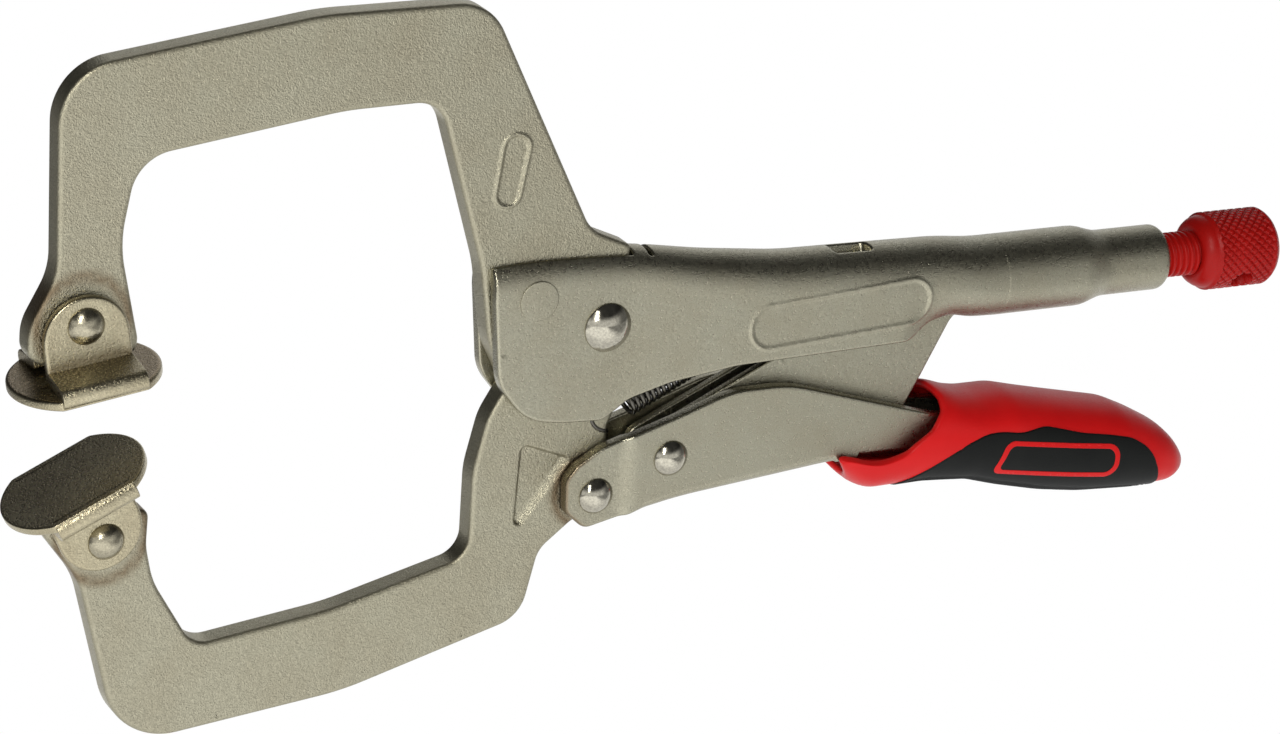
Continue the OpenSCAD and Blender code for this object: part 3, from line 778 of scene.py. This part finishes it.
# ---- Swivel pads ----
# Each pad is one pressing: a disc with two straight sides, folded back over itself and up into
# two ears that straddle the jaw's tip. It is plated satin all over; its disc top is darkened brown
# as painted shade, and each ear is browned in a band just above the fold.
pad_height = 12.5
pad_radius = 14.7
pad_half_width = 12.0
pad_chord = math.sqrt(pad_radius ** 2 - pad_half_width ** 2)
ear_inside = jaw_thickness / 2 + 0.3


def pad_points():
    """A pad about its pivot, contact face down, as points, rims and faces.

    The disc's outline is a circle whose sideways half is clipped to pad_half_width. A fold is its
    section carried along X, and an ear is a blank standing in the X-Z plane.
    """
    turn = np.linspace(0, 2 * np.pi, 400, endpoint=False)
    sideways = np.clip(pad_radius * np.sin(turn), -pad_half_width, pad_half_width)
    disc_line = evenly(np.stack([pad_radius * np.cos(turn), sideways], 1), 0.6)
    plan, depth, rim, faces = blank(disc_line, pad_sheet, 0.25, 0.6, 1.8)
    disc = (np.stack([plan[:, 0], plan[:, 1], -pad_height - depth], 1), rim, faces)
    fold_line = rounded([[across, up - pad_height, radius] for across, up, radius in (
        (-9.5, 0, 0.5), (-12.6, 0, 1.7), (-12.7, 3.7, 1.8), (-4.6, 4.9, 0.5), (-3.2, 4.9, 0.4),
        (-3.2, 2.9, 0.4), (-9.5, 1.7, 0.4))], 0.3)
    plan, depth, rim, faces = blank(fold_line, 2 * pad_chord, 0.25, 0.25, 1.2)
    fold = np.stack([-depth - pad_chord, plan[:, 0], plan[:, 1]], 1)
    ear_foot = 3.6 - pad_height
    ear_line = rounded([[-pad_chord, ear_foot, 0.8], [-pad_chord, 5.7, pad_chord - 0.05],
                        [pad_chord, 5.7, pad_chord - 0.05], [pad_chord, ear_foot, 0.8]])
    plan, depth, ear_rim, ear_faces = blank(ear_line, pad_sheet, 0.55, 0.4, 1.5)
    ear = np.stack([plan[:, 0], -(ear_inside + pad_sheet + depth), plan[:, 1]], 1)
    mirror = np.array([1, -1, 1])
    return join(disc, (fold, rim * 0.6, faces), (fold * mirror, rim * 0.6, faces),
                (ear, ear_rim, ear_faces), (ear * mirror, ear_rim, ear_faces))


def pad_piece(name, centre, lean, body, node_name):
    """Turns a pad about its pivot by lean degrees and puts it on its jaw."""
    points, rim, faces = pad_points()
    cosine, sine = math.cos(math.radians(lean)), math.sin(math.radians(lean))
    x, y, z = points.T
    placed = np.stack([centre[0] + cosine * x + sine * z, y, centre[1] - sine * x + cosine * z], 1)
    # The disc's top face, in front of and behind the folds, is darkened brown as painted shade. Each ear's
    # outer face is also browned in a band just above the fold.
    plate_top = (np.abs(z + pad_height - pad_sheet) < 0.1) & (np.abs(x) > pad_chord + 0.2)
    ear_foot = np.exp(-((z + pad_height - 5.4) / 0.8) ** 2) * (np.abs(np.abs(y) - pad_ear_half) < 0.3)
    brown_tint = np.maximum(0.55 * plate_top, 0.4 * ear_foot)
    make_piece(name, placed, faces, pad_nickel, body, node_name, rim, brown_tint)


def face_lean(mount):
    """A pad's turn about Y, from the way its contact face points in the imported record."""
    x, _, z = next(row["axis"] for row in frame["record"]["mounts"] if row["name"] == mount)
    return math.degrees(math.atan2(-x, -z))


pad_piece("fixed_pad", fixed_pad_pivot, face_lean("upper_pad_face"), "fixed_jaw_pad", "upper_pad")
pad_piece("moving_pad", moving_pad_pivot, face_lean("lower_pad_face"), "moving_jaw_pad", "lower_pad")

# ---- Adjusting screw and knob ----
# A steel screw, painted red with its knob. The thread is rolled at 1.5 mm pitch, the barrel is
# diamond-knurled for grip, and a cross hole takes a turning bar. The hole is drawn as two sockets.
thread_radius = 4.75
thread_depth = 0.75
thread_pitch = 1.5
knob_start = 248.0
knob_end = 267.0


def satin_paint(name, colour, shade, roughness, orange_peel):
    """Satin red surface: even colour, slightly darker in patches, with a faint orange peel."""
    made, tree, place = empty_material(name)
    peel = node(tree, "ShaderNodeTexNoise", {"Vector": place, "Scale": 1900.0, "Detail": 2.0})
    patch = node(tree, "ShaderNodeTexNoise", {"Vector": place, "Scale": 120.0, "Detail": 3.0})
    amount = node(tree, "ShaderNodeMapRange", {"Value": patch.outputs["Fac"], "From Min": 0.35,
                  "From Max": 0.7, "To Min": 0.0, "To Max": 0.45})
    base = node(tree, "ShaderNodeMix", {0: amount.outputs[0], 6: linear(colour), 7: linear(shade)},
                data_type="RGBA")
    bump = node(tree, "ShaderNodeBump", {"Height": peel.outputs["Fac"], "Distance": orange_peel * MM,
                "Strength": 1.0})
    rough = node(tree, "ShaderNodeMapRange", {"Value": peel.outputs["Fac"], "From Min": 0.3,
                 "From Max": 0.7, "To Min": roughness - 0.04, "To Max": roughness + 0.06})
    skin = node(tree, "ShaderNodeBsdfPrincipled", {"Base Color": base.outputs[2], "Metallic": 0.0,
                "Roughness": rough.outputs[0], "Normal": bump.outputs[0], "IOR": 1.5,
                "Specular IOR Level": 0.16})
    node(tree, "ShaderNodeOutputMaterial", {"Surface": skin.outputs[0]})
    return made


knob_paint = satin_paint("red_knob_paint", "#A6120E", "#8C0C0A", 0.36, 0.02)

count = 96
screw_tip = 194.6
screw_end = 254.0
x = np.concatenate([[screw_tip, screw_tip, 195.0, 196.0, 219.0], np.arange(219.3, 252.0, 0.12),
                    [screw_end, screw_end]])
angle = np.linspace(0, 2 * np.pi, count, endpoint=False)
turn_x, turn_angle = np.meshgrid(x, angle, indexing="ij")
phase = (turn_x / thread_pitch - turn_angle / (2 * np.pi)) % 1
crest = np.clip(1.35 * (0.5 - 0.5 * np.cos(2 * np.pi * phase)), 0, 1)
cut = ease(turn_x, 219.5, 221.5)
root = thread_radius - thread_depth
radius = root + thread_depth * crest * cut
radius[0] = 0
radius[1] = root - 1.0
radius[2] = root - 0.4
radius[-1] = 0
points = np.stack([turn_x, radius * np.cos(turn_angle), screw_height + radius * np.sin(turn_angle)], -1)
make_piece("adjusting_screw_thread", points.reshape(-1, 3), grid_faces(len(x), count), knob_paint,
           "screw", "adjusting_screw")

knob_radius = 8.3
knurl_start = knob_start + 3.3
knurl_end = knob_end - 2.2
knurl_depth = 0.55
knurl_teeth = 26
hole_turn = math.radians(-49)
hole_radius = 2.5
socket_depth = 6.0
profile = [(knob_start + 0.4, 4.2), (knob_start, 4.9), (knob_start, 5.6), (knob_start + 0.1, 6.0),
           (knob_start + 0.4, 6.45), (knob_start + 0.9, 6.95), (knob_start + 1.6, 7.4),
           (knob_start + 2.4, 7.7), (knob_start + 3.1, 7.8)]
profile += [(x, knob_radius) for x in np.arange(knurl_start, knurl_end, 0.17)]
profile += [(knob_end - 1.6, 7.9), (knob_end - 0.9, 7.3), (knob_end - 0.35, 6.6), (knob_end, 5.7),
            (knob_end, 0.0)]
x, radius = np.array(profile).T
count = 312
angle = np.linspace(0, 2 * np.pi, count, endpoint=False)
turn_x, turn_angle = np.meshgrid(x, angle, indexing="ij")
pitch = 2 * np.pi / knurl_teeth
lead = (turn_x - knurl_start) / (knob_radius * pitch)
one_way = np.abs(((turn_angle / pitch + lead) % 1) - 0.5) * 2
other_way = np.abs(((turn_angle / pitch - lead) % 1) - 0.5) * 2
groove = np.minimum(np.minimum(one_way, other_way) * 2.6, 1)
band = ease(turn_x, knurl_start - 0.05, knurl_start + 0.5) * (1 - ease(turn_x, knurl_end - 0.6, knurl_end))
knurled = np.repeat(radius[:, None], count, 1) - knurl_depth * (1 - groove) * band
y = knurled * np.cos(turn_angle)
z = knurled * np.sin(turn_angle)
hole_axis = np.array([-math.sin(hole_turn), math.cos(hole_turn)])
off_x = turn_x - (knob_start + 10)
off_side = y * hole_axis[1] - z * hole_axis[0]
reach = np.hypot(off_x, off_side)
sink = (1 - ease(reach, hole_radius - 0.25, hole_radius + 0.15)) * (knurled > 3) * socket_depth
push = np.sign(y * hole_axis[0] + z * hole_axis[1])
y = y - hole_axis[0] * push * sink
z = z - hole_axis[1] * push * sink
points = np.stack([turn_x, y, screw_height + z], -1).reshape(-1, 3)
make_piece("knurled_knob", points, grid_faces(len(x), count), knob_paint, "knob", "screw_knob")

# ---- Tension spring ----
# Close-wound dark spring wire. Its front hook sits in the moving jaw's rear edge with its tail on
# the jaw's near face, and its rear leg runs on under the window in the upper handle's crown.


def tube_along(path, radius, sides=10):
    """A round wire with closed ends: a circle across each point of a path, in the plane of two
    directions square to the path."""
    path = np.asarray(path, float)
    along = np.gradient(path, axis=0)
    along /= np.linalg.norm(along, axis=1, keepdims=True)
    aside = np.cross(along, [0.0, 1.0, 0.0])
    parallel = np.linalg.norm(aside, axis=1) < 0.2
    aside[parallel] = np.cross(along[parallel], [1.0, 0.0, 0.0])
    aside /= np.linalg.norm(aside, axis=1, keepdims=True)
    over = np.cross(along, aside)
    angle = np.linspace(0, 2 * np.pi, sides, endpoint=False)
    size = np.full(len(path), radius)
    size[[0, -1]] = 0
    ring = (aside[:, None] * np.cos(angle)[:, None] + over[:, None] * np.sin(angle)[:, None])
    points = path[:, None] + ring * size[:, None, None]
    return points.reshape(-1, 3), grid_faces(len(path), sides)


coil_start = np.array([115.3, 0.0, -18.2])
coil_end = np.array([154.5, 0.0, 1.6])
wire = 0.5
coil_radius = 2.45
coil_way = (coil_end - coil_start) / np.linalg.norm(coil_end - coil_start)
upright = np.cross([0.0, 1.0, 0.0], coil_way)
turns = 36
points_per_turn = 18
share = np.linspace(0, 1, turns * points_per_turn)
spin = 2 * np.pi * turns * share
coil = (coil_start + np.outer(share, coil_end - coil_start)
        + coil_radius * (np.outer(np.cos(spin), [0.0, 1.0, 0.0]) + np.outer(np.sin(spin), upright)))
hook = np.linspace(0, np.pi * 1.15, 16)
jaw_hook_centre = coil_start - coil_way * 9.6
hook_radius = 2.2
front_hook = (jaw_hook_centre - np.outer(np.sin(hook), coil_way) * hook_radius
              - np.outer(np.cos(hook), upright) * hook_radius)
front_leg = np.linspace(coil[0], front_hook[0] + coil_way * 0.5, 8)[:-1]
rear_leg = np.linspace(coil[-1] + coil_way * 0.3, coil_end + coil_way * 8.5, 10)
tail_radius = 4.1
tail_turn = np.radians(np.linspace(188, 268, 12))
tail = np.stack([110.3 + tail_radius * np.cos(tail_turn), np.full(12, wire / 2 - jaw_thickness / 2),
                 tail_radius * np.sin(tail_turn) - 18.4], 1)
path = np.concatenate([tail, front_hook[::-1], front_leg[::-1], coil[1:-1], rear_leg])
points, wire_faces = tube_along(path, wire)
spring_steel = nickel("spring_wire_steel", "#5E5C56", 0.25, 0.5, 0.004, 0.25, cloud=0.02)
spring = make_piece("tension_spring_coil", points, wire_faces, spring_steel, None, "tension_spring")
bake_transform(spring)

# ---- Grip ----
# A two-shot moulding over the lower handle's tail: a hard red polypropylene shell with a rolled
# lip at its mouth, and a soft black elastomer insert along its belly and flanks.
grip_tip = 251.3
# A power of 1 would make the section an ellipse; a lower one makes it squarer.
section_power = 0.86
closing_start = 243


def grip_sizes(x):
    """Middle height, half height and half width of the grip's section at x."""
    top = faired(x, [(158, -24), (164, -23), (172, -22.2), (183, -21.5), (187.5, -22), (192, -23.6),
                     (196, -24.3), (203.5, -24.3), (210, -25.9), (217, -27.5), (231.5, -30.6),
                     (237, -33.1), (243, -36.3), (247, -39.4), (249.6, -42.2), (252, -46)], 2.6)
    bottom = faired(x, [(160, -36.5), (164, -38.2), (168, -41), (171, -42.3), (183, -41.9),
                        (194, -42.6), (202, -44.9), (212, -47.2), (222, -48.7), (236, -49.6),
                        (245, -49.6), (249.5, -48.6), (252, -46)], 2.6)
    half = faired(x, [(158, 8.9), (164, 9.5), (172, 10.2), (183, 10.8), (195, 11.2), (204, 11.6),
                      (217, 11.8), (231, 11.3), (240, 10.1), (247, 7.9), (250, 5.8), (253, 3)], 4)
    past = np.clip(x - closing_start, 0, None) / (grip_tip - closing_start)
    closing = np.where(x > closing_start, np.sqrt(np.clip(1 - past ** 2.6, 0, 1)), 1)
    return (top + bottom) / 2, (top - bottom) / 2 * closing, half * closing


def on_grip(x, angle, proud):
    """A point of the grip: a rounded-square section round the middle line, proud outside it."""
    middle, tall, wide = grip_sizes(x)
    across, up = np.cos(angle), np.sin(angle)
    across = np.sign(across) * np.abs(across) ** section_power
    up = np.sign(up) * np.abs(up) ** section_power
    return np.stack([x, -(wide + proud) * across, middle + (tall + proud) * up], -1)


lip_radius = 0.95
mouth_angles = np.radians([-90, -62, -40, -24, -17.5, -14.5, -11, -3, 18, 44, 66, 90])
mouth_places = [167.0, 164.8, 162.8, 161.6, 162.4, 166.0, 171.5, 176.6, 182.3, 185.2, 186.0, 186.0]
count = 256
angle = np.linspace(0, 2 * np.pi, count, endpoint=False)
folded = np.arcsin(np.sin(angle))
mouth_x = np.interp(folded, mouth_angles, mouth_places)
kernel = np.hanning(11) / np.hanning(11).sum()
mouth_x = np.convolve(np.concatenate([mouth_x[-5:], mouth_x, mouth_x[:5]]), kernel, "valid")
rows = [on_grip(mouth_x + inwards, angle, -2 * lip_radius - 0.4) for inwards in (22, 8)]
for lean in np.radians([-85, -60, -30, 0, 25, 45, 65, 90]):
    rows.append(on_grip(mouth_x + lip_radius - lip_radius * math.cos(lean), angle,
                        lip_radius * (math.sin(lean) - 1)))
body_start = mouth_x + lip_radius
for share in np.linspace(0, 1, 110)[1:]:
    along = math.sin(share * math.pi / 2) * 0.35 + share * 0.65
    rows.append(on_grip(body_start + along * (grip_tip - body_start), angle, 0.0))
points = np.stack(rows)
grip_plastic = satin_paint("red_grip_polypropylene", "#CE1718", "#BA1114", 0.36, 0.012)
make_piece("grip_shell_moulding", points.reshape(-1, 3), grid_faces(len(rows), count), grip_plastic,
           "handle", "grip_shell")


def soft_rubber(name, colour, worn):
    """Black thermoplastic elastomer: dull, with a fine spark-eroded grain and faint bloom."""
    made, tree, place = empty_material(name)
    grain = node(tree, "ShaderNodeTexNoise", {"Vector": place, "Scale": 3200.0, "Detail": 3.0})
    bloom = node(tree, "ShaderNodeTexNoise", {"Vector": place, "Scale": 140.0, "Detail": 4.0})
    amount = node(tree, "ShaderNodeMapRange", {"Value": bloom.outputs["Fac"], "From Min": 0.4,
                  "From Max": 0.75, "To Min": 0.0, "To Max": 0.5})
    base = node(tree, "ShaderNodeMix", {0: amount.outputs[0], 6: linear(colour), 7: linear(worn)},
                data_type="RGBA")
    bump = node(tree, "ShaderNodeBump", {"Height": grain.outputs["Fac"], "Distance": 0.05 * MM,
                "Strength": 1.0})
    skin = node(tree, "ShaderNodeBsdfPrincipled", {"Base Color": base.outputs[2], "Roughness": 0.55,
                "Normal": bump.outputs[0], "IOR": 1.45, "Specular IOR Level": 0.2})
    node(tree, "ShaderNodeOutputMaterial", {"Surface": skin.outputs[0]})
    return made


insert_start, insert_stop = 176.5, 241.0
insert_top = [(170, -43), (176.5, -40.6), (180, -38.0), (185, -34.6), (190, -31.6),
              (195, -29.9), (199, -29.8), (203.5, -30.5), (209.5, -29.9),
              (214, -31.1), (219, -32.5), (226, -33.8), (232, -35.2),
              (236.5, -38), (239.3, -42), (240.6, -46), (241.2, -50)]
x = np.linspace(insert_start, insert_stop, 420)
middle, tall, wide = grip_sizes(x)
level = np.clip((faired(x, insert_top, 3) - middle) / tall, -0.995, 0.9)
edge_angle = np.arcsin(np.sign(level) * np.abs(level) ** (1 / section_power))
round_belly = np.linspace(-1, 1, 181)
turn_x, belly = np.meshgrid(x, round_belly, indexing="ij")
span = edge_angle[:, None] + math.pi / 2
turn_angle = -math.pi / 2 + belly * span
run = (1 - np.abs(belly)) * span * np.sqrt(wide * tall)[:, None]
ends = np.minimum(turn_x - insert_start, insert_stop - turn_x)
rim_gap = np.minimum(run, ends)
rib_spacing = 1.35
rib_height = 0.22
lining_depth = 1.1
proud = 0.28 - 0.75 * (1 - ease(rim_gap, 0.0, 0.55))
ribs = 0.5 - 0.5 * np.cos(2 * np.pi * (turn_x * 0.55 + run) / rib_spacing)
low = ease(np.sin(-turn_angle), 0.62, 0.8) * ease(rim_gap, 0.8, 2.2)
outer = on_grip(turn_x, turn_angle, proud - rib_height * ribs * low)
inner = on_grip(turn_x, turn_angle, np.full_like(turn_x, -lining_depth))
rubber = soft_rubber("black_elastomer", "#0E100F", "#161816")
points = np.concatenate([outer.reshape(-1, 3), inner.reshape(-1, 3)])
per_face = outer.shape[0] * outer.shape[1]
skin = grid_faces(len(x), len(round_belly), wrap=False)
lining = [[corner + per_face for corner in face[::-1]] for face in skin]
index = np.arange(per_face).reshape(len(x), len(round_belly))
border = np.concatenate([index[0], index[1:, -1], index[-1, -2::-1], index[-2:0:-1, 0]])
follow = np.roll(border, -1)
wall = np.stack([border, border + per_face, follow + per_face, follow], 1).tolist()
make_piece("grip_insert_moulding", points, skin + lining + wall, rubber, "handle", "grip_insert")

# A plain four-cornered red frame is inlaid in the insert on each flank.
badge_outline = rounded([[200, -31.9, 2.6], [228.4, -36.1, 3.2], [228.2, -43.7, 3.2], [197, -39.4, 1.5]], 0.3)
badge_hole = rounded([[200.9, -33.1, 1.8], [227.2, -37, 2.3], [227, -42.4, 2.3], [198.6, -38.5, 0.9]], 0.3)
plan, depth, rim, faces = blank(badge_outline, 0.9, 0.12, 0.1, 1.0, holes=[badge_hole])
middle, tall, wide = grip_sizes(plan[:, 0])
share = np.clip(np.abs((plan[:, 1] - middle) / tall), 0, 0.98) ** (1 / section_power)
flank = wide * np.sqrt(1 - share ** 2) ** section_power + 0.38 + depth
badge_near = np.stack([plan[:, 0], -flank, plan[:, 1]], 1)
make_piece("grip_badge_near_ring", badge_near, faces, grip_plastic, "handle", "grip_badge_near")
make_piece("grip_badge_far_ring", badge_near * [1, -1, 1], faces, grip_plastic, "handle", "grip_badge_far")
